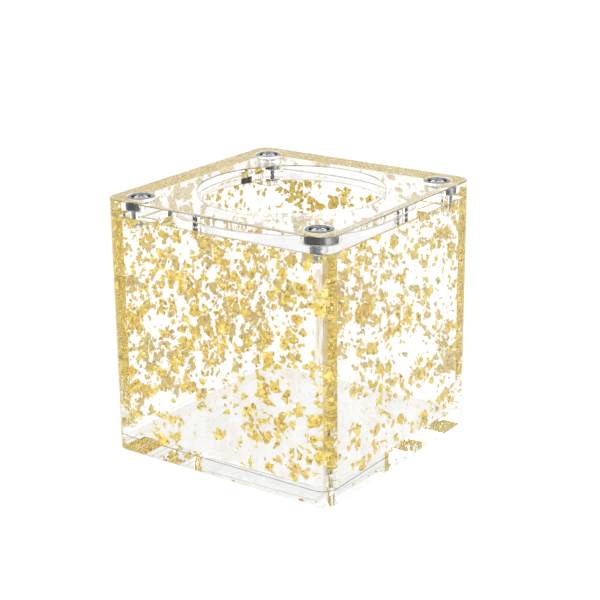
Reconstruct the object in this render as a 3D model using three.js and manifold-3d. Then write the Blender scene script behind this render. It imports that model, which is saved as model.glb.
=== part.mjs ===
// Clear acrylic cube box: base plate, four butt-jointed walls and a screwed-on top plate with a large
// round opening. Each top corner is held by a pan-head screw in a turned cup washer, driven into a
// threaded insert in a small clear block. Millimetres, +Z up, standing on z = 0, centred on the z axis.
import * as THREE from 'three';
import { mergeVertices } from 'three/addons/utils/BufferGeometryUtils.js';
import Module from 'manifold-3d';

const wasm = await Module();
wasm.setup();

// Overall cube and sheet thickness.
const CUBE = 130;
const SHEET = 8;
const HALF = CUBE / 2;
const INNER = HALF - SHEET;
const CORNER_R = 8;
const GAP = 0.3;
const EDGE_BREAK = 0.3;

// Opening in the top plate.
const OPENING_D = 92;

// Screw stations, 13 mm in from the outer faces.
const SCREW_XY = 52;

// Turned cup washer, sunk flush in the top plate.
const CUP_D = 13.6;
const CUP_H = 5.5;
const CUP_RECESS_D = 9.4;
const CUP_RECESS_DEPTH = 2.9;
const COUNTERBORE_D = CUP_D + 2 * GAP;
const COUNTERBORE_DEPTH = CUP_H + GAP;

// M4 x 12 pan-head screw with a cross recess; the thread is left as its outer cylinder.
const SCREW_D = 4;
const SCREW_LENGTH = 12;
const HEAD_D = 8;
const HEAD_H = 2.6;
const CLEARANCE_D = SCREW_D + 2 * GAP;

// Corner block and the threaded insert pressed into its top.
const BLOCK = 10;
const BLOCK_H = 8;
const INSERT_D = 6.2;
const INSERT_H = 5;

// Levels.
const WALL_BOTTOM = SHEET + GAP;
const WALL_TOP = CUBE - SHEET - GAP;
const LID_BOTTOM = CUBE - SHEET;
const CUP_BOTTOM = CUBE - CUP_H;
const HEAD_BOTTOM = CUBE - CUP_RECESS_DEPTH + GAP;

const CORNERS = [
  ['front_right', 1, -1],
  ['front_left', -1, -1],
  ['back_left', -1, 1],
  ['back_right', 1, 1],
];

const ACRYLIC = { color: 0xf4f7f6, roughness: 0.05, metalness: 0 };
const CHROME = { color: 0xc9ccd0, roughness: 0.12, metalness: 1 };
const STEEL = { color: 0xb4b6b8, roughness: 0.3, metalness: 1 };

function toManifold(geometry) {
  const bare = geometry.clone();
  bare.deleteAttribute('normal');
  bare.deleteAttribute('uv');
  const welded = mergeVertices(bare, 1e-4);
  const index = welded.index.array;
  const mesh = new wasm.Mesh({
    numProp: 3,
    vertProperties: new Float32Array(welded.attributes.position.array),
    triVerts: new Uint32Array(index),
  });
  return new wasm.Manifold(mesh);
}

function toGeometry(solid) {
  const mesh = solid.getMesh();
  const geometry = new THREE.BufferGeometry();
  geometry.setAttribute('position', new THREE.BufferAttribute(new Float32Array(mesh.vertProperties), 3));
  geometry.setIndex(new THREE.BufferAttribute(new Uint32Array(mesh.triVerts), 1));
  const flat = geometry.toNonIndexed();
  flat.computeVertexNormals();
  return flat;
}

function cutFrom(geometry, tools) {
  let solid = toManifold(geometry);
  for (const tool of tools) {
    solid = solid.subtract(toManifold(tool));
  }
  return toGeometry(solid);
}

// Extrudes an outline between two levels with the polished edges broken all round.
function plate(shape, z0, z1) {
  const geometry = new THREE.ExtrudeGeometry(shape, {
    depth: z1 - z0 - 2 * EDGE_BREAK,
    bevelEnabled: true,
    bevelThickness: EDGE_BREAK,
    bevelSize: EDGE_BREAK,
    bevelOffset: -EDGE_BREAK,
    bevelSegments: 1,
    curveSegments: 8,
  });
  geometry.translate(0, 0, z0 + EDGE_BREAK);
  return geometry;
}

function roundedSquare(half, radius) {
  const shape = new THREE.Shape();
  shape.moveTo(-half + radius, -half);
  shape.lineTo(half - radius, -half);
  shape.absarc(half - radius, -half + radius, radius, -Math.PI / 2, 0, false);
  shape.lineTo(half, half - radius);
  shape.absarc(half - radius, half - radius, radius, 0, Math.PI / 2, false);
  shape.lineTo(-half + radius, half);
  shape.absarc(-half + radius, half - radius, radius, Math.PI / 2, Math.PI, false);
  shape.lineTo(-half, -half + radius);
  shape.absarc(-half + radius, -half + radius, radius, Math.PI, 1.5 * Math.PI, false);
  shape.closePath();
  return shape;
}

function cylinder(diameter, z0, z1, x, y, segments) {
  const geometry = new THREE.CylinderGeometry(diameter / 2, diameter / 2, z1 - z0, segments);
  geometry.rotateX(Math.PI / 2);
  geometry.translate(x, y, (z0 + z1) / 2);
  return geometry;
}

// Turns a half-section, given as [radius, height] pairs, about the z axis.
function turned(profile, segments) {
  const points = profile.map(([r, z]) => new THREE.Vector2(r, z));
  const geometry = new THREE.LatheGeometry(points, segments);
  geometry.rotateX(Math.PI / 2);
  return geometry;
}

// The left wall runs the full depth, so both of its outer edges carry the corner rounding.
function leftWallShape() {
  const shape = new THREE.Shape();
  shape.moveTo(-INNER, -HALF);
  shape.lineTo(-INNER, HALF);
  shape.absarc(-INNER, INNER, CORNER_R, Math.PI / 2, Math.PI, false);
  shape.lineTo(-HALF, -INNER);
  shape.absarc(-INNER, -INNER, CORNER_R, Math.PI, 1.5 * Math.PI, false);
  shape.closePath();
  return shape;
}

// The front wall butts against the left wall and shows its rounded end on the right face.
function frontWallShape() {
  const shape = new THREE.Shape();
  shape.moveTo(-INNER + GAP, -HALF);
  shape.lineTo(INNER, -HALF);
  shape.absarc(INNER, -INNER, CORNER_R, -Math.PI / 2, 0, false);
  shape.lineTo(-INNER + GAP, -INNER);
  shape.closePath();
  return shape;
}

function backWallShape() {
  const shape = new THREE.Shape();
  shape.moveTo(-INNER + GAP, INNER);
  shape.lineTo(HALF, INNER);
  shape.absarc(INNER, INNER, CORNER_R, 0, Math.PI / 2, false);
  shape.lineTo(-INNER + GAP, HALF);
  shape.closePath();
  return shape;
}

function rectangle(x0, x1, y0, y1) {
  const shape = new THREE.Shape();
  shape.moveTo(x0, y0);
  shape.lineTo(x1, y0);
  shape.lineTo(x1, y1);
  shape.lineTo(x0, y1);
  shape.closePath();
  return shape;
}

// The top plate: a round opening with both rims broken, and a stepped hole at each screw.
function lidPlate() {
  const r = OPENING_D / 2;
  const opening = turned([
    [0, LID_BOTTOM - 1],
    [r + EDGE_BREAK + 1, LID_BOTTOM - 1],
    [r, LID_BOTTOM + EDGE_BREAK],
    [r, CUBE - EDGE_BREAK],
    [r + EDGE_BREAK + 1, CUBE + 1],
    [0, CUBE + 1],
  ], 80);
  const tools = [opening];
  for (const [, sx, sy] of CORNERS) {
    const x = sx * SCREW_XY;
    const y = sy * SCREW_XY;
    tools.push(cylinder(COUNTERBORE_D, CUBE - COUNTERBORE_DEPTH, CUBE + 1, x, y, 32));
    tools.push(cylinder(CLEARANCE_D, LID_BOTTOM - 1, CUBE - 1, x, y, 20));
  }
  return cutFrom(plate(roundedSquare(HALF, CORNER_R), LID_BOTTOM, CUBE), tools);
}

// A clear block in the inner corner, drilled through and stepped for the insert.
function cornerBlock() {
  const side = BLOCK - 2 * GAP;
  const z0 = LID_BOTTOM - GAP - BLOCK_H;
  const z1 = LID_BOTTOM - GAP;
  const body = new THREE.BoxGeometry(side, side, BLOCK_H);
  body.translate(0, 0, (z0 + z1) / 2);
  return cutFrom(body, [
    cylinder(CLEARANCE_D, z0 - 1, z1 + 1, 0, 0, 24),
    cylinder(INSERT_D + 2 * GAP, z1 - INSERT_H - GAP, z1 + 1, 0, 0, 32),
  ]);
}

function threadInsert() {
  const z1 = LID_BOTTOM - GAP;
  const z0 = z1 - INSERT_H;
  const r = INSERT_D / 2;
  const bore = CLEARANCE_D / 2;
  return turned([
    [bore, z0],
    [r - 0.4, z0],
    [r, z0 + 0.4],
    [r, z0 + 1.8],
    [r - 0.35, z0 + 2.1],
    [r - 0.35, z0 + 2.9],
    [r, z0 + 3.2],
    [r, z1 - 0.2],
    [r - 0.2, z1],
    [bore + 0.2, z1],
    [bore, z1 - 0.2],
    [bore, z0],
  ], 28);
}

function cupWasher() {
  const r = CUP_D / 2;
  const recess = CUP_RECESS_D / 2;
  const bore = CLEARANCE_D / 2;
  const floor = CUBE - CUP_RECESS_DEPTH;
  return turned([
    [bore, CUP_BOTTOM],
    [r - 0.4, CUP_BOTTOM],
    [r, CUP_BOTTOM + 0.4],
    [r, CUBE - 0.6],
    [r - 0.2, CUBE - 0.2],
    [r - 0.6, CUBE],
    [recess + 0.5, CUBE],
    [recess, CUBE - 0.5],
    [recess, floor],
    [bore, floor],
    [bore, CUP_BOTTOM],
  ], 40);
}

function lidScrew() {
  const tip = HEAD_BOTTOM - SCREW_LENGTH;
  const r = SCREW_D / 2;
  const head = HEAD_D / 2;
  const body = turned([
    [0, tip],
    [r - 0.5, tip],
    [r, tip + 0.5],
    [r, HEAD_BOTTOM],
    [head - 0.2, HEAD_BOTTOM],
    [head, HEAD_BOTTOM + 0.3],
    [head, HEAD_BOTTOM + 1.2],
    [head - 0.45, HEAD_BOTTOM + 1.9],
    [head - 1.3, HEAD_BOTTOM + 2.4],
    [head - 2.6, HEAD_BOTTOM + HEAD_H],
    [0, HEAD_BOTTOM + HEAD_H],
  ], 32);
  const top = HEAD_BOTTOM + HEAD_H + 0.5;
  const socket = HEAD_BOTTOM + HEAD_H - 1.7;
  const alongX = new THREE.BoxGeometry(4.4, 0.9, top - socket);
  alongX.translate(0, 0, (top + socket) / 2);
  const alongY = new THREE.BoxGeometry(0.9, 4.4, top - socket);
  alongY.translate(0, 0, (top + socket) / 2);
  return cutFrom(body, [alongX, alongY]);
}

const group = new THREE.Group();
group.name = 'acrylic_cube_box';

function add(name, geometry, look) {
  const mesh = new THREE.Mesh(geometry, new THREE.MeshStandardMaterial(look));
  mesh.name = name;
  group.add(mesh);
  return mesh;
}

add('base_plate', plate(roundedSquare(HALF, CORNER_R), 0, SHEET), ACRYLIC);
add('left_wall', plate(leftWallShape(), WALL_BOTTOM, WALL_TOP), ACRYLIC);
add('front_wall', plate(frontWallShape(), WALL_BOTTOM, WALL_TOP), ACRYLIC);
add('back_wall', plate(backWallShape(), WALL_BOTTOM, WALL_TOP), ACRYLIC);
const rightWallShape = rectangle(INNER, HALF, -INNER + GAP, INNER - GAP);
add('right_wall', plate(rightWallShape, WALL_BOTTOM, WALL_TOP), ACRYLIC);
add('lid_plate', lidPlate(), ACRYLIC);

for (const [corner, sx, sy] of CORNERS) {
  const x = sx * SCREW_XY;
  const y = sy * SCREW_XY;
  const pieces = [
    add(`corner_block_${corner}`, cornerBlock(), ACRYLIC),
    add(`thread_insert_${corner}`, threadInsert(), STEEL),
    add(`cup_washer_${corner}`, cupWasher(), CHROME),
    add(`lid_screw_${corner}`, lidScrew(), CHROME),
  ];
  for (const piece of pieces) {
    piece.geometry.translate(x, y, 0);
  }
}

export default group;
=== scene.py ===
import math

import bmesh
import bpy
import numpy as np
from mathutils import Matrix, Vector


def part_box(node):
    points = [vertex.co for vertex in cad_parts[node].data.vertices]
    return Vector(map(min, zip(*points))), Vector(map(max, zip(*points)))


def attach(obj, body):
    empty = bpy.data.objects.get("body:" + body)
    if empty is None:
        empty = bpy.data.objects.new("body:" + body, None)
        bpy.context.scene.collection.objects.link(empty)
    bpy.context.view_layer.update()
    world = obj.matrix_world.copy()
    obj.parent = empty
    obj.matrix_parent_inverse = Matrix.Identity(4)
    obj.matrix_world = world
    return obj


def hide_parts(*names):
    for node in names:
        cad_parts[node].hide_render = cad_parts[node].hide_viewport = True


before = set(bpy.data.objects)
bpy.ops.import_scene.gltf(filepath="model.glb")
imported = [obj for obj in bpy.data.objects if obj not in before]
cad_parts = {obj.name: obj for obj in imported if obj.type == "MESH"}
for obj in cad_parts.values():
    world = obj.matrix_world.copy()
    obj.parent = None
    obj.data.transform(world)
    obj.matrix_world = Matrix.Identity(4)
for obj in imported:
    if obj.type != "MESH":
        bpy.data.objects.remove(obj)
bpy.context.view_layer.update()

MM = 0.001

base_low, base_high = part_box("base_plate")
lid_low, lid_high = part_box("lid_plate")
HALF = base_high.x
SHEET = base_high.z - base_low.z
INNER = HALF - SHEET
CORNER_R = SHEET
OPENING_R = 46 * MM
EDGE = 0.2 * MM  # the narrow flat scraped along a sheet's edges
LID_EDGE = 0.45 * MM  # the same on the top plate, where it is wider
CEMENT = 0.01 * MM  # the film of cement between the base and the walls
BUTT = 0.05 * MM  # the gap at the corners' butt joints and under the top plate
SKIN = 0.35 * MM  # plain acrylic between the leaf and a wall's faces
POCKET_PLAY = 0.25 * MM  # round a cup in the top plate
POCKET_DROP = 0.15 * MM  # under a cup
SCREW_HOLE_R = 2.3 * MM  # through the cup and the top plate
SCREW_LENGTH = 12 * MM  # under the head
THREAD_PITCH = 0.7 * MM
PLATE_SHARP, TURNED_SHARP = 18, 35  # degrees between faces from which an edge is crisp
ACRYLIC_IOR = 1.49
PIPED_LIGHT = 0.075  # what the leaf gets from light trapped inside its sheet

CORNERS = {
    "front_right": (1, -1),
    "front_left": (-1, -1),
    "back_left": (-1, 1),
    "back_right": (1, 1),
}


# ---------------------------------------------------------------- materials


def material(name):
    """A new node material, as (material, node tree, its Principled shader)."""
    made = bpy.data.materials.new(name)
    made.use_nodes = True
    tree = made.node_tree
    return made, tree, tree.nodes["Principled BSDF"]


def node(tree, kind, settings=(), **inputs):
    """Adds a node, with its own settings as pairs and its inputs by name."""
    made = tree.nodes.new(kind)
    for key, value in settings:
        setattr(made, key, value)
    for key, value in inputs.items():
        made.inputs[key.replace("_", " ")].default_value = value
    return made


def object_noise(tree, scale, detail=2.0, roughness=0.5):
    """Noise in the object's own coordinates; scale is in cycles per metre."""
    coords = node(tree, "ShaderNodeTexCoord")
    noise = node(tree, "ShaderNodeTexNoise", Scale=scale, Detail=detail, Roughness=roughness)
    tree.links.new(coords.outputs["Object"], noise.inputs["Vector"])
    return noise.outputs["Fac"]


def ramp(tree, source, stops):
    """A colour ramp on source; stops are (position, (r, g, b))."""
    made = node(tree, "ShaderNodeValToRGB")
    elements = made.color_ramp.elements
    while len(elements) < len(stops):
        elements.new(0.5)
    for element, (position, colour) in zip(elements, stops):
        element.position = position
        element.color = (*colour, 1)
    tree.links.new(source, made.inputs["Fac"])
    return made.outputs["Color"]


def spread(tree, source, low, high, start=0.3, end=0.7):
    """Maps source from start..end onto low..high."""
    made = node(tree, "ShaderNodeMapRange")
    made.inputs["From Min"].default_value = start
    made.inputs["From Max"].default_value = end
    made.inputs["To Min"].default_value = low
    made.inputs["To Max"].default_value = high
    tree.links.new(source, made.inputs["Value"])
    return made.outputs["Result"]


def bump(tree, shader, height, distance, strength=1.0):
    made = node(tree, "ShaderNodeBump", Distance=distance, Strength=strength)
    tree.links.new(height, made.inputs["Height"])
    tree.links.new(made.outputs["Normal"], shader.inputs["Normal"])


def see_through(name, ior=ACRYLIC_IOR):
    """A new material that light passes through."""
    made, tree, shader = material(name)
    shader.inputs["IOR"].default_value = ior
    shader.inputs["Transmission Weight"].default_value = 1.0
    return made, tree, shader


def metal(name):
    made, tree, shader = material(name)
    shader.inputs["Metallic"].default_value = 1.0
    return made, tree, shader


def finish(tree, shader, colour, roughness):
    """Links a colour and a roughness to the shader."""
    tree.links.new(colour, shader.inputs["Base Color"])
    tree.links.new(roughness, shader.inputs["Roughness"])


def acrylic(name, ior=ACRYLIC_IOR, haze=(0.0, 0.012)):
    """Cast sheet: a trace of tint, a haze that varies, and the slow wave of a cast surface."""
    made, tree, shader = see_through(name, ior)
    tint = ramp(
        tree,
        object_noise(tree, 35, 3),
        [(0.35, (0.985, 0.992, 0.988)), (0.65, (1.0, 1.0, 1.0))],
    )
    finish(tree, shader, tint, spread(tree, object_noise(tree, 160, 4), *haze, 0.5, 0.8))
    bump(tree, shader, object_noise(tree, 22, 1), 0.02 * MM)
    return made


def scraped_acrylic_painted_shade():
    """The narrow flats scraped along a plate's edges: matt, and tinted a dark warm grey as painted
    shade along the edges.
    """
    made, tree, shader = see_through("acrylic_scraped_edge_painted_shade")
    # Painted shade: the dark warm grey tint stands in for the dark lines along a clear plate's edges.
    tint = ramp(
        tree,
        object_noise(tree, 300, 3),
        [(0.3, (0.34, 0.32, 0.27)), (0.7, (0.52, 0.50, 0.44))],
    )
    finish(tree, shader, tint, spread(tree, object_noise(tree, 900, 4), 0.2, 0.35))
    bump(tree, shader, object_noise(tree, 700, 2), 0.01 * MM)
    return made


def sawn_acrylic():
    """A wall's end left as it came off the saw: frosted, with close tool marks."""
    made, tree, shader = see_through("acrylic_sawn_end")
    tint = ramp(
        tree,
        object_noise(tree, 400, 3),
        [(0.3, (0.95, 0.96, 0.95)), (0.7, (1.0, 1.0, 1.0))],
    )
    finish(tree, shader, tint, spread(tree, object_noise(tree, 700, 4), 0.28, 0.45))
    coords = node(tree, "ShaderNodeTexCoord")
    marks = node(
        tree,
        "ShaderNodeTexWave",
        [("bands_direction", "Z")],
        Scale=260,
        Distortion=1.5,
        Detail=2,
    )
    tree.links.new(coords.outputs["Object"], marks.inputs["Vector"])
    bump(tree, shader, marks.outputs["Fac"], 0.01 * MM)
    return made


def gold_leaf():
    """Beaten gold leaf: yellow metal whose colour cloud holds painted crease shade in its dark olive
    patches and painted highlight in its palest ones, and a fine crumple. It gives off a little light
    of its own colour, for the light that acrylic traps and pipes to it."""
    made, tree, shader = material("gold_leaf")
    shader.inputs["Metallic"].default_value = 0.75
    # Painted shade and highlight: the dark olive lowest stop paints crease shade and the palest stop
    # paints highlights, both where the noise puts them.
    colour = ramp(
        tree,
        object_noise(tree, 520, 4, 0.6),
        [
            (0.32, (0.30, 0.20, 0.025)),
            (0.41, (0.92, 0.72, 0.18)),
            (0.58, (1.0, 0.88, 0.34)),
            (0.75, (1.0, 0.96, 0.60)),
        ],
    )
    finish(tree, shader, colour, spread(tree, object_noise(tree, 900, 3), 0.32, 0.55))
    tree.links.new(colour, shader.inputs["Emission Color"])
    shader.inputs["Emission Strength"].default_value = PIPED_LIGHT
    bump(tree, shader, object_noise(tree, 900, 4, 0.6), 0.25 * MM, 0.75)
    return made


def chrome(name, stops, noise_scale=(1, 1, 1)):
    """Turned and chromed: close lathe rings under the plating, with painted shade, highlight and
    reflection in the colours that each copy's stops give.
    The stops colour a cloud of noise, which noise_scale draws out along an axis."""
    made, tree, shader = metal(name)
    coords = node(tree, "ShaderNodeTexCoord")
    stretch = node(tree, "ShaderNodeMapping")
    stretch.inputs["Scale"].default_value = noise_scale
    cloud = node(tree, "ShaderNodeTexNoise", Scale=300, Detail=3)
    tree.links.new(coords.outputs["Object"], stretch.inputs["Vector"])
    tree.links.new(stretch.outputs["Vector"], cloud.inputs["Vector"])
    colour = ramp(tree, cloud.outputs["Fac"], stops)
    finish(tree, shader, colour, spread(tree, object_noise(tree, 800, 5), 0.05, 0.16))
    rings = node(
        tree,
        "ShaderNodeTexWave",
        [("wave_type", "RINGS"), ("rings_direction", "Z")],
        Scale=900,
        Distortion=0.6,
        Detail=1,
    )
    tree.links.new(coords.outputs["Object"], rings.inputs["Vector"])
    bump(tree, shader, rings.outputs["Fac"], 0.004 * MM)
    return made


def insert_steel():
    """Plain machined steel, duller than the chrome."""
    made, tree, shader = metal("insert_steel")
    colour = ramp(
        tree,
        object_noise(tree, 500, 4),
        [(0.3, (0.16, 0.16, 0.17)), (0.7, (0.34, 0.34, 0.34))],
    )
    finish(tree, shader, colour, spread(tree, object_noise(tree, 1200, 4), 0.25, 0.4))
    bump(tree, shader, object_noise(tree, 2500, 3), 0.01 * MM)
    return made


CLEAR = acrylic("clear_acrylic")
CEMENTED = acrylic("cemented_joint", ior=1.0)
ROUTED = acrylic("routed_corner", haze=(0.10, 0.20))
SAWN = sawn_acrylic()
SCRAPED_PAINTED_SHADE = scraped_acrylic_painted_shade()
GOLD = gold_leaf()
# Painted shade: cups and screw shanks take chrome darkened well below real plating, for the dark
# reflections they show.
CHROME = chrome("polished_chrome", [(0.3, (0.19, 0.195, 0.21)), (0.7, (0.30, 0.305, 0.32))])
# Painted highlight: the screw heads take a copy of the chrome brighter than real plating.
HEAD_CHROME_PAINTED_HIGHLIGHT = chrome(
    "screw_head_painted_highlight", [(0.3, (0.78, 0.785, 0.80)), (0.7, (0.92, 0.925, 0.93))]
)
# Painted shade: the cross recess is chrome coloured near black, for the shade inside it.
RECESS_CHROME_PAINTED_SHADE = chrome(
    "chrome_cross_recess_painted_shade", [(0.4, (0.01, 0.01, 0.012)), (0.65, (0.12, 0.12, 0.125))]
)
# Painted reflection: the cups' outer sides take black and silver streaks drawn out upright, for the
# dark and bright surroundings they reflect.
CUP_SIDE_PAINTED_REFLECTION = chrome(
    "chrome_cup_side_painted_reflection",
    [(0.52, (0.003, 0.003, 0.004)), (0.57, (0.03, 0.03, 0.035)), (0.64, (0.5, 0.5, 0.51))],
    (0.5, 0.5, 0.06),
)
STEEL = insert_steel()
PLATE_FINISHES = [CLEAR, CEMENTED, SCRAPED_PAINTED_SHADE]
WALL_FINISHES = [CLEAR, CEMENTED, SAWN, ROUTED]
CUP_FINISHES = [CHROME, CUP_SIDE_PAINTED_REFLECTION]
SCREW_FINISHES = [CHROME, HEAD_CHROME_PAINTED_HIGHLIGHT, RECESS_CHROME_PAINTED_SHADE]


# ---------------------------------------------------------------- mesh helpers


def arc(cx, cy, r, start, end, steps=16):
    """Points along an arc; angles in degrees."""
    angles = np.radians(np.linspace(start, end, steps + 1))
    return [(cx + r * math.cos(a), cy + r * math.sin(a)) for a in angles]


def finish_mesh(name, mesh, materials, stands_for, sharp=PLATE_SHARP):
    """Smooth shading with crisp edges, materials, and the CAD node that the piece stands for."""
    mesh.shade_smooth()
    mesh.set_sharp_from_angle(angle=math.radians(sharp))
    while mesh.materials:
        mesh.materials.pop()
    for m in materials:
        mesh.materials.append(m)
    piece = bpy.data.objects.new(name, mesh)
    bpy.context.scene.collection.objects.link(piece)
    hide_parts(stands_for)
    return piece


def sheet_mesh(name, loops, z0, z1, edge=EDGE):
    """A flat plate between two levels from closed outlines, holes included, with its edges broken."""
    outline = bpy.data.curves.new(name, "CURVE")
    outline.dimensions = "2D"
    outline.fill_mode = "BOTH"
    for points in loops:
        spline = outline.splines.new("POLY")
        spline.points.add(len(points) - 1)
        for point, (x, y) in zip(spline.points, points):
            point.co = (x, y, 0, 1)
        spline.use_cyclic_u = True
    outline.extrude = (z1 - z0) / 2 - edge
    outline.bevel_depth = edge
    outline.bevel_resolution = 0
    outline.offset = -edge
    holder = bpy.data.objects.new(name, outline)
    bpy.context.scene.collection.objects.link(holder)
    graph = bpy.context.evaluated_depsgraph_get()
    mesh = bpy.data.meshes.new_from_object(holder.evaluated_get(graph))
    bpy.data.objects.remove(holder)
    bm = bmesh.new()
    bm.from_mesh(mesh)
    bmesh.ops.remove_doubles(bm, verts=bm.verts, dist=2e-6)
    bmesh.ops.translate(bm, verts=bm.verts, vec=(0, 0, (z0 + z1) / 2))
    bmesh.ops.recalc_face_normals(bm, faces=bm.faces)
    bm.to_mesh(mesh)
    bm.free()
    return mesh


def split(mesh, axis, positions):
    """Cuts a mesh's faces along planes across one axis, so that parts of a face can differ."""
    bm = bmesh.new()
    bm.from_mesh(mesh)
    normal = Vector((0, 0, 0))
    normal[axis] = 1
    for position in positions:
        bmesh.ops.bisect_plane(
            bm,
            geom=bm.verts[:] + bm.edges[:] + bm.faces[:],
            plane_co=normal * position,
            plane_no=normal,
        )
    bm.to_mesh(mesh)
    bm.free()


def turned(profile, segments=96):
    """A closed body of revolution about z from (radius, height) pairs; a radius may be a function
    of the angle. A profile that starts and ends on the axis is capped by single points."""
    bm = bmesh.new()
    rings = []
    for radius, height in profile:
        if not callable(radius) and radius == 0:
            rings.append([bm.verts.new((0, 0, height))])
            continue
        ring = []
        for k in range(segments):
            a = 2 * math.pi * k / segments
            r = radius(a) if callable(radius) else radius
            ring.append(bm.verts.new((r * math.cos(a), r * math.sin(a), height)))
        rings.append(ring)
    closed = len(rings[0]) > 1
    pairs = list(zip(rings, rings[1:])) + ([(rings[-1], rings[0])] if closed else [])
    for low, high in pairs:
        for k in range(segments):
            n = (k + 1) % segments
            if len(low) == 1:
                bm.faces.new((low[0], high[n], high[k]))
            elif len(high) == 1:
                bm.faces.new((low[k], low[n], high[0]))
            else:
                bm.faces.new((low[k], low[n], high[n], high[k]))
    bmesh.ops.recalc_face_normals(bm, faces=bm.faces)
    mesh = bpy.data.meshes.new("turned")
    bm.to_mesh(mesh)
    bm.free()
    return mesh


def plug(radius, bottom, top, segments=96):
    """A plain cylinder about z, as a cutting tool."""
    return turned([(0, bottom), (radius, bottom), (radius, top), (0, top)], segments)


def cut(mesh, tools):
    """mesh less each tool mesh."""
    target = bpy.data.objects.new("cut_target", mesh)
    bpy.context.scene.collection.objects.link(target)
    helpers = []
    for tool in tools:
        helper = bpy.data.objects.new("cut_tool", tool)
        bpy.context.scene.collection.objects.link(helper)
        modifier = target.modifiers.new("cut", "BOOLEAN")
        modifier.object = helper
        modifier.operation = "DIFFERENCE"
        modifier.solver = "EXACT"
        helpers.append(helper)
    graph = bpy.context.evaluated_depsgraph_get()
    result = bpy.data.meshes.new_from_object(target.evaluated_get(graph))
    for helper in [*helpers, target]:
        bpy.data.objects.remove(helper)
    return result


# ---------------------------------------------------------------- acrylic plates


def square_outline():
    """The cube's outline from above, with its corners rounded."""
    centre = HALF - CORNER_R
    points = []
    for k, (sx, sy) in enumerate([(1, 1), (-1, 1), (-1, -1), (1, -1)]):
        points += arc(sx * centre, sy * centre, CORNER_R, 90 * k, 90 * k + 90)
    return points


def scrape_and_shade_edges(mesh):
    """Gives the narrow sloping flats between a plate's faces and its sides the matt finish, with its
    painted shade.
    """
    for face in mesh.polygons:
        if 0.3 < abs(face.normal.z) < 0.9:
            face.material_index = PLATE_FINISHES.index(SCRAPED_PAINTED_SHADE)


def base():
    """The base: its top takes cement in a ring under the walls and is bare inside it."""
    mesh = sheet_mesh("acrylic_base", [square_outline()], base_low.z, base_high.z)
    rim = INNER + EDGE
    for axis in (0, 1):
        split(mesh, axis, (-rim, rim))
    piece = finish_mesh("acrylic_base", mesh, PLATE_FINISHES, "base_plate")
    scrape_and_shade_edges(mesh)
    for face in mesh.polygons:
        c = face.center
        if face.normal.z > 0.9 and max(abs(c.x), abs(c.y)) > rim:
            face.material_index = PLATE_FINISHES.index(CEMENTED)
    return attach(piece, "box")


WALL_Z = (SHEET + CEMENT, lid_low.z - BUTT)
BUTT_X = -INNER + BUTT

WALL_OUTLINES = {
    "left_wall": arc(-INNER, INNER, CORNER_R, 90, 180)
    + arc(-INNER, -INNER, CORNER_R, 180, 270),
    "front_wall": [(BUTT_X, -HALF)] + arc(INNER, -INNER, CORNER_R, 270, 360) + [(BUTT_X, -INNER)],
    "back_wall": [(BUTT_X, INNER)] + arc(INNER, INNER, CORNER_R, 0, 90) + [(BUTT_X, HALF)],
    "right_wall": [
        (INNER, -INNER + BUTT),
        (HALF, -INNER + BUTT),
        (HALF, INNER - BUTT),
        (INNER, INNER - BUTT),
    ],
}


def wall(node_name):
    """A wall, with each face finished by what it meets: clear cement doesn't show, a sawn end is
    frosted, and a corner rounded with a router is hazy. The top plate beds down on the left and
    back walls without a visible gap, as if cemented."""
    mesh = sheet_mesh("acrylic_" + node_name, [WALL_OUTLINES[node_name]], *WALL_Z)
    # These two run past a neighbour's end, so only a part of their inner face is cemented.
    if node_name == "left_wall":
        split(mesh, 1, (-INNER, INNER))
    elif node_name == "back_wall":
        split(mesh, 0, (INNER,))
    piece = finish_mesh("acrylic_" + node_name, mesh, WALL_FINISHES, node_name)
    for face in mesh.polygons:
        c, n = face.center, face.normal
        cemented = {
            "left_wall": n.z > 0.9 or (n.x > 0.9 and abs(c.y) > INNER),
            "front_wall": n.x < -0.9,
            "back_wall": n.z > 0.9 or n.x < -0.9 or (n.y < -0.9 and c.x > INNER),
            "right_wall": n.y > 0.9,
        }[node_name]
        on_rounded_corner = min(abs(n.x), abs(n.y)) > 0.02
        if cemented or n.z < -0.9:
            face.material_index = WALL_FINISHES.index(CEMENTED)
        elif node_name == "right_wall" and n.y < -0.9:
            face.material_index = WALL_FINISHES.index(SAWN)
        elif on_rounded_corner:
            face.material_index = WALL_FINISHES.index(ROUTED)
    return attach(piece, "box")


def lid():
    """The top plate, with its round opening and a stepped hole for each screw and cup."""
    opening = arc(0, 0, OPENING_R, 0, 360, 180)[:-1]
    mesh = sheet_mesh(
        "acrylic_lid", [square_outline(), opening[::-1]], lid_low.z, lid_high.z, LID_EDGE
    )
    cup_low, cup_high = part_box("cup_washer_front_right")
    pocket_r = (cup_high.x - cup_low.x) / 2 + POCKET_PLAY
    centre = (cup_low + cup_high) / 2
    tools = []
    for sx, sy in CORNERS.values():
        place = Matrix.Translation((sx * centre.x, -sy * centre.y, 0))
        pocket = plug(pocket_r, cup_low.z - POCKET_DROP, lid_high.z + MM)
        hole = plug(SCREW_HOLE_R, lid_low.z - MM, cup_low.z + MM, 48)
        for tool in (pocket, hole):
            tool.transform(place)
            tools.append(tool)
    mesh = cut(mesh, tools)
    # The underside meets the left and back walls without a gap, and the rest of it stands clear.
    split(mesh, 0, (-INNER,))
    split(mesh, 1, (INNER,))
    piece = finish_mesh("acrylic_lid", mesh, PLATE_FINISHES, "lid_plate")
    scrape_and_shade_edges(mesh)
    for face in mesh.polygons:
        if face.normal.z < -0.9 and (face.center.x < -INNER or face.center.y > INNER):
            face.material_index = PLATE_FINISHES.index(CEMENTED)
    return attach(piece, "lid")


# ---------------------------------------------------------------- gold leaf

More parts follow.
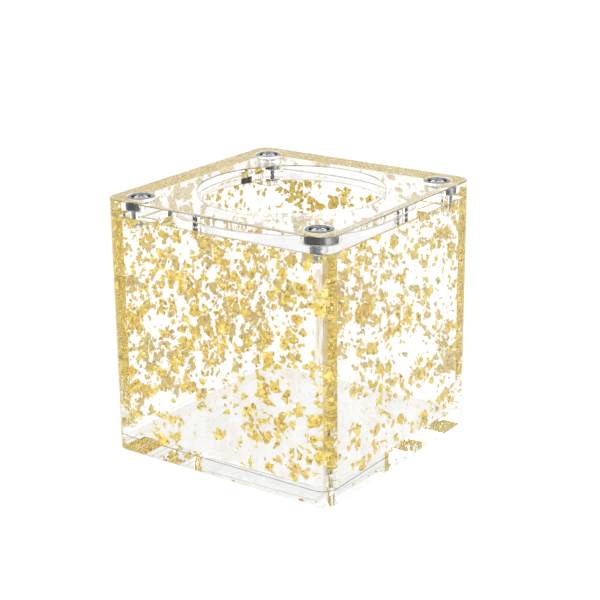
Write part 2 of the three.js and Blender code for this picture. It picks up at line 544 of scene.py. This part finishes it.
FLAKES = {"left_wall": 1300, "front_wall": 1150, "back_wall": 1000, "right_wall": 780}
FLAKE_SIZE = 1.4 * MM  # the median reach of a flake from its centre
FLAKE_SPREAD = 0.52
SMALLEST_FLAKE, LARGEST_FLAKE = 0.35 * MM, 3.9 * MM
SPECKS = 800  # crumbs of leaf in each wall
DRIFT = 2.8 * MM  # how far the flakes of one drift lie apart
DRIFT_SHARE = 0.45  # of the flakes start a drift
FOOT_DENSITY, DENSITY_RISE = 0.45, 1.1  # shares of the full density, at a wall's foot and upwards
TILT = 0.42  # how far flakes lean out of their wall's plane


def scrap(rng, size):
    """One torn scrap of leaf as rings of points round a centre: (points in its own u, v, w, faces)."""
    count = int(rng.integers(13, 19))
    phase = rng.uniform(0, 2 * math.pi, 5)
    lobes = rng.uniform(0.04, 0.2, 4)
    stretch = rng.uniform(0.5, 1.0)
    fold = rng.uniform(0.1, 0.35)
    points = [(0.0, 0.0, rng.normal(0, 0.08) * size)]
    rings = (0.3, 0.62, 0.86, 1.0)
    for share in rings:
        for k in range(count):
            a = 2 * math.pi * (k + rng.uniform(-0.3, 0.3) * share) / count
            outline = 1.0
            for order, (lobe, turn) in enumerate(zip(lobes, phase)):
                outline += lobe * math.sin((order + 2) * a + turn)
            tear = 1 + (0.09 if share == 1.0 else 0.04) * rng.normal()
            r = max(size * share * outline * tear * 0.9, 0.02 * size)
            lift = fold * size * share * math.sin(2 * a + phase[3])
            crumple = rng.normal(0, 0.09) * size
            points.append((r * math.cos(a), stretch * r * math.sin(a), lift + crumple))
    faces = []
    for k in range(count):
        n = (k + 1) % count
        faces.append((0, 1 + k, 1 + n))
        for ring in range(len(rings) - 1):
            a, b = 1 + ring * count, 1 + (ring + 1) * count
            faces.append((a + k, b + k, b + n))
            faces.append((a + k, b + n, a + n))
    return np.array(points), faces


def leaf_positions(rng, low, high, count):
    """Places through the thickness of a sheet, sparse near the base: some alone, some in drifts."""
    places = []
    while len(places) < count:
        centre = rng.uniform(low, high)
        height = (centre[2] - low[2]) / (high[2] - low[2])
        if rng.uniform() > min(1.0, FOOT_DENSITY + DENSITY_RISE * height):
            continue
        places.append(centre)
        if rng.uniform() < DRIFT_SHARE:
            for _ in range(int(rng.integers(2, 7))):
                places.append(np.clip(centre + rng.normal(0, DRIFT, 3), low, high))
    return places[:count]


def keep_inside(points, low, high):
    """Holds points within a wall's box and within the rounded corners of the cube."""
    points = np.clip(points, low, high)
    beyond = np.maximum(np.abs(points[:, :2]) - (HALF - CORNER_R), 0)
    reach = np.hypot(beyond[:, 0], beyond[:, 1])
    limit = CORNER_R - SKIN
    pull = np.where(reach > limit, limit / np.maximum(reach, 1e-9), 1.0)
    corner = (beyond > 0).all(axis=1)
    scale = np.where(corner, pull, 1.0)[:, None]
    held = np.sign(points[:, :2]) * (HALF - CORNER_R + beyond * scale)
    points[:, :2] = np.where(corner[:, None], held, points[:, :2])
    return points


def gold_flakes(node_name, seed):
    """The gold leaf cast inside one wall."""
    rng = np.random.default_rng(seed)
    low, high = (np.array(v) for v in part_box(node_name))
    thin = int(np.argmin(high - low))
    inside_low, inside_high = low + SKIN, high - SKIN
    points, faces = [], []
    for place in leaf_positions(rng, inside_low, inside_high, FLAKES[node_name]):
        size = rng.lognormal(math.log(FLAKE_SIZE), FLAKE_SPREAD)
        flake, triangles = scrap(rng, float(np.clip(size, SMALLEST_FLAKE, LARGEST_FLAKE)))
        facing = rng.normal(0, TILT, 3)
        facing[thin] += 1.0
        facing /= np.linalg.norm(facing)
        along = np.cross(facing, rng.normal(size=3))
        along /= np.linalg.norm(along)
        across = np.cross(facing, along)
        laid = place + flake @ np.array([along, across, facing])
        laid = keep_inside(laid, inside_low, inside_high)
        start = len(points)
        points += [tuple(p) for p in laid]
        faces += [tuple(start + i for i in f) for f in triangles]
    for _ in range(SPECKS):
        place = keep_inside(rng.uniform(inside_low, inside_high)[None], inside_low, inside_high)[0]
        size = rng.uniform(0.12, 0.42) * MM
        start = len(points)
        for a in (0.4, 1.7, 3.1, 4.6):
            offset = np.array([math.cos(a), math.sin(a), rng.normal(0, 0.3)]) * size
            offset = np.roll(offset * rng.uniform(0.5, 1.2), thin + 1)
            points.append(tuple(keep_inside((place + offset)[None], inside_low, inside_high)[0]))
        faces += [(start, start + 1, start + 2), (start, start + 2, start + 3)]
    mesh = bpy.data.meshes.new("gold_leaf_" + node_name)
    mesh.from_pydata(points, [], faces)
    mesh.materials.append(GOLD)
    piece = bpy.data.objects.new("gold_leaf_" + node_name, mesh)
    bpy.context.scene.collection.objects.link(piece)
    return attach(piece, "box")


# ---------------------------------------------------------------- screws, cups, inserts


def stand(piece, node_name, body):
    """Puts a piece turned about z on the axis of its CAD node, to ride on a body."""
    low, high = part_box(node_name)
    centre = (low + high) / 2
    piece.location = (centre.x, centre.y, 0)
    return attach(piece, body)


def cup(corner):
    """A turned cup with rounded rims and a recess for the screw's head."""
    name = "cup_washer_" + corner
    low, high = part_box(name)
    r = (high.x - low.x) / 2
    top, bottom = high.z, low.z
    recess, floor = 4.7 * MM, top - 2.9 * MM
    outer_round, inner_round = 0.8 * MM, 0.5 * MM
    profile = [(SCREW_HOLE_R, bottom), (r - 0.5 * MM, bottom)]
    profile += [(r - 0.15 * MM, bottom + 0.12 * MM), (r, bottom + 0.5 * MM)]
    profile.append((r, top - outer_round))
    for a in np.radians(np.linspace(10, 90, 7)):
        drop = outer_round * (1 - math.sin(a))
        profile.append((r - outer_round * (1 - math.cos(a)), top - drop))
    for a in np.radians(np.linspace(90, 170, 7)):
        drop = inner_round * (1 - math.sin(a))
        profile.append((recess + inner_round * (1 + math.cos(a)), top - drop))
    profile += [(recess, top - 0.7 * MM), (recess, floor + 0.3 * MM), (recess - 0.3 * MM, floor)]
    profile.append((SCREW_HOLE_R, floor))
    mesh = turned(profile)
    piece = finish_mesh(
        "chrome_cup_" + corner, mesh, CUP_FINISHES, name, TURNED_SHARP
    )
    # Painted reflection: the cup's outer side takes the streaked black and silver copy of the chrome.
    for face in mesh.polygons:
        c = face.center
        if abs(face.normal.z) < 0.3 and math.hypot(c.x, c.y) > recess + MM:
            face.material_index = CUP_FINISHES.index(CUP_SIDE_PAINTED_REFLECTION)
    return stand(piece, name, "cup_" + corner)


def cross_tool(top, depth):
    """The tapered cross that a cross-head driver fits, as a cutting tool."""
    bm = bmesh.new()
    levels = []
    for height, reach, width in ((top + MM, 3.2, 1.1), (top - depth, 1.0, 0.6)):
        a, b = reach * MM, width * MM / 2
        outline = [(a, -b), (a, b), (b, b), (b, a), (-b, a), (-b, b)]
        outline += [(-a, b), (-a, -b), (-b, -b), (-b, -a), (b, -a), (b, -b)]
        levels.append([bm.verts.new((x, y, height)) for x, y in outline])
    bm.faces.new(levels[0])
    bm.faces.new(levels[1][::-1])
    for k in range(12):
        n = (k + 1) % 12
        bm.faces.new((levels[0][k], levels[1][k], levels[1][n], levels[0][n]))
    bmesh.ops.recalc_face_normals(bm, faces=bm.faces)
    mesh = bpy.data.meshes.new("cross_tool")
    bm.to_mesh(mesh)
    bm.free()
    return mesh


def threaded(z, start, end, crest=2.0 * MM, root=1.62 * MM):
    """The radius of a right-hand thread at height z, as a function of the angle."""
    fade = min(1.0, (z - start) / THREAD_PITCH, (end - z) / THREAD_PITCH)

    def radius(angle):
        turn = (z / THREAD_PITCH - angle / (2 * math.pi)) % 1.0
        flank = max(0.0, 1 - abs(turn - 0.5) * 2.4)
        return root + (crest - root) * flank * max(fade, 0.0)

    return radius


def screw(corner):
    """A pan-head machine screw with a rolled thread and a cross recess."""
    name = "lid_screw_" + corner
    low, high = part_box(name)
    seat = low.z + SCREW_LENGTH
    rim = seat + 1.1 * MM
    neck_r = 1.75 * MM
    head_r = (high.x - low.x) / 2
    profile = [(0, low.z), (1.2 * MM, low.z)]
    thread_start, thread_end = low.z + 0.3 * MM, seat - 1.0 * MM
    for z in np.linspace(thread_start, thread_end, 121):
        profile.append((threaded(z, thread_start, thread_end), z))
    profile += [(neck_r, seat - 0.7 * MM), (neck_r, seat), (head_r - 0.2 * MM, seat)]
    profile += [(head_r, seat + 0.3 * MM), (head_r, rim)]
    for a in np.radians(np.linspace(12, 78, 9)):
        profile.append((head_r * math.cos(a) ** 0.75, rim + (high.z - rim) * math.sin(a)))
    profile.append((0, high.z))
    mesh = cut(turned(profile, 64), [cross_tool(high.z, 1.7 * MM)])
    piece = finish_mesh(
        "chrome_screw_" + corner, mesh, SCREW_FINISHES, name, TURNED_SHARP
    )
    # Painted highlight and shade: the head's dome takes the bright copy of the chrome, and the cross's
    # steep walls take the near-black copy.
    for face in mesh.polygons:
        c = face.center
        if c.z < seat + 0.5 * MM:
            continue
        in_cross = math.hypot(c.x, c.y) < 2.7 * MM and c.z < high.z - 0.1 * MM
        steep = abs(face.normal.z) < 0.6 or c.z < high.z - MM
        look = RECESS_CHROME_PAINTED_SHADE if in_cross and steep else HEAD_CHROME_PAINTED_HIGHLIGHT
        face.material_index = SCREW_FINISHES.index(look)
    return stand(piece, name, "screw_" + corner)


def insert(corner):
    """A threaded sleeve with two knurled bands, pressed into its block."""
    name = "thread_insert_" + corner
    low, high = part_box(name)
    r = (high.x - low.x) / 2
    bore = 2.25 * MM

    def knurl(angle):
        return r - 0.16 * MM * (0.5 + 0.5 * math.cos(32 * angle))

    waist = r - 0.35 * MM
    chamfer = 0.25 * MM
    heights = [0.0, 0.4, 1.8, 2.0, 3.0, 3.2, 4.7, 5.0]  # above its foot, in millimetres
    radii = [r - 0.4 * MM, knurl, knurl, waist, waist, knurl, knurl, r - chamfer]
    profile = [(bore, low.z)]
    profile += [(radius, low.z + h * MM) for radius, h in zip(radii, heights)]
    profile += [(bore + chamfer, high.z), (bore, high.z - chamfer)]
    mesh = turned(profile, 128)
    piece = finish_mesh(
        "steel_insert_" + corner, mesh, [STEEL], name, TURNED_SHARP
    )
    return stand(piece, name, "box")


# ---------------------------------------------------------------- assembly

base()
lid()
for seed, wall_name in enumerate(WALL_OUTLINES):
    wall(wall_name)
    gold_flakes(wall_name, 40 + seed)
for corner in CORNERS:
    cup(corner)
    screw(corner)
    insert(corner)
    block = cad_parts["corner_block_" + corner]
    block.data.materials.clear()
    block.data.materials.append(CLEAR)


# ---------------------------------------------------------------- stage, light, camera


def floor():
    """A wide pale table top, lit from within so that it meets the room without a horizon."""
    bm = bmesh.new()
    segments = 96
    top = -0.3 * MM
    rings = [
        [bm.verts.new((x, y, top)) for x, y in arc(0, 0, radius, 0, 360, segments)[:-1]]
        for radius in (0.25, 0.8, 2.0, 4.0)
    ]
    bm.faces.new(rings[0])
    for low, high in zip(rings, rings[1:]):
        for k in range(segments):
            n = (k + 1) % segments
            bm.faces.new((low[k], high[k], high[n], low[n]))
    mesh = bpy.data.meshes.new("table_top")
    bm.to_mesh(mesh)
    bm.free()
    made, tree, shader = material("table_white")
    shade = ramp(
        tree,
        object_noise(tree, 6, 2),
        [(0.3, (0.13, 0.13, 0.13)), (0.7, (0.134, 0.134, 0.134))],
    )
    tree.links.new(shade, shader.inputs["Base Color"])
    tree.links.new(shade, shader.inputs["Emission Color"])
    shader.inputs["Emission Strength"].default_value = 6.7
    shader.inputs["Roughness"].default_value = 0.8
    mesh.materials.append(made)
    piece = bpy.data.objects.new("table_top", mesh)
    bpy.context.scene.collection.objects.link(piece)


def sky():
    """A white room: soft lights in front to either side of a dim doorway, and a dimmer ceiling."""
    world = bpy.data.worlds.new("studio")
    world.use_nodes = True
    tree = world.node_tree
    background = tree.nodes["Background"]
    coords = node(tree, "ShaderNodeTexCoord")
    parts = node(tree, "ShaderNodeSeparateXYZ")
    tree.links.new(coords.outputs["Generated"], parts.inputs["Vector"])
    room = ramp(
        tree,
        parts.outputs["Z"],
        [
            (0.0, (1.0, 1.0, 1.0)),
            (0.14, (1.0, 1.0, 1.0)),
            (0.32, (0.86, 0.86, 0.86)),
            (0.55, (0.80, 0.80, 0.80)),
            (0.80, (0.43, 0.43, 0.43)),
        ],
    )

    def towards(direction):
        """How nearly a ray points along a direction."""
        facing = node(tree, "ShaderNodeVectorMath", [("operation", "DOT_PRODUCT")])
        facing.inputs[1].default_value = direction
        tree.links.new(coords.outputs["Generated"], facing.inputs[0])
        return facing.outputs["Value"]

    front_lights, dim_doorway = (0.577, -0.816, 0.0), (0.547, -0.773, 0.32)
    front = spread(tree, towards(front_lights), 1.0, 2.95, -0.05, 0.35)
    doorway = spread(tree, towards(dim_doorway), 1.0, 0.5, 0.88, 0.96)
    gain = node(tree, "ShaderNodeMath", [("operation", "MULTIPLY")])
    tree.links.new(front, gain.inputs[0])
    tree.links.new(doorway, gain.inputs[1])
    lit = node(tree, "ShaderNodeVectorMath", [("operation", "SCALE")])
    tree.links.new(room, lit.inputs[0])
    tree.links.new(gain.outputs["Value"], lit.inputs["Scale"])
    tree.links.new(lit.outputs["Vector"], background.inputs["Color"])
    background.inputs["Strength"].default_value = 1.04
    bpy.context.scene.world = world


def camera():
    """A low viewpoint in front of the near corner, through a long lens. Its distance and its
    offsets to the right and up are shares of the cube's side."""
    azimuth, elevation, roll = (math.radians(a) for a in (-54.735, 18.682, -0.560))
    side = 2 * HALF
    distance = 6.0292 * side
    to_right, to_top = 0.0275 * side, 0.0512 * side
    forward = -Vector((
        math.cos(azimuth) * math.cos(elevation),
        math.sin(azimuth) * math.cos(elevation),
        math.sin(elevation),
    ))
    level = forward.cross(Vector((0, 0, 1))).normalized()
    upright = level.cross(forward)
    right = math.cos(roll) * level + math.sin(roll) * upright
    up = math.cos(roll) * upright - math.sin(roll) * level
    place = Vector((0, 0, HALF)) - forward * distance + right * to_right + up * to_top
    lens = bpy.data.cameras.new("camera")
    lens.sensor_width = 36
    lens.lens = 93.52
    holder = bpy.data.objects.new("camera", lens)
    axes = Matrix((right, up, -forward)).transposed().to_4x4()
    holder.matrix_world = Matrix.Translation(place) @ axes
    bpy.context.scene.collection.objects.link(holder)
    bpy.context.scene.camera = holder


floor()
sky()
camera()

scene = bpy.context.scene
scene.view_settings.view_transform = "Standard"
scene.cycles.max_bounces = 32
scene.cycles.transmission_bounces = 32
scene.cycles.glossy_bounces = 16
scene.cycles.diffuse_bounces = 6
scene.cycles.caustics_refractive = True
scene.cycles.caustics_reflective = True
scene.cycles.use_denoising = True
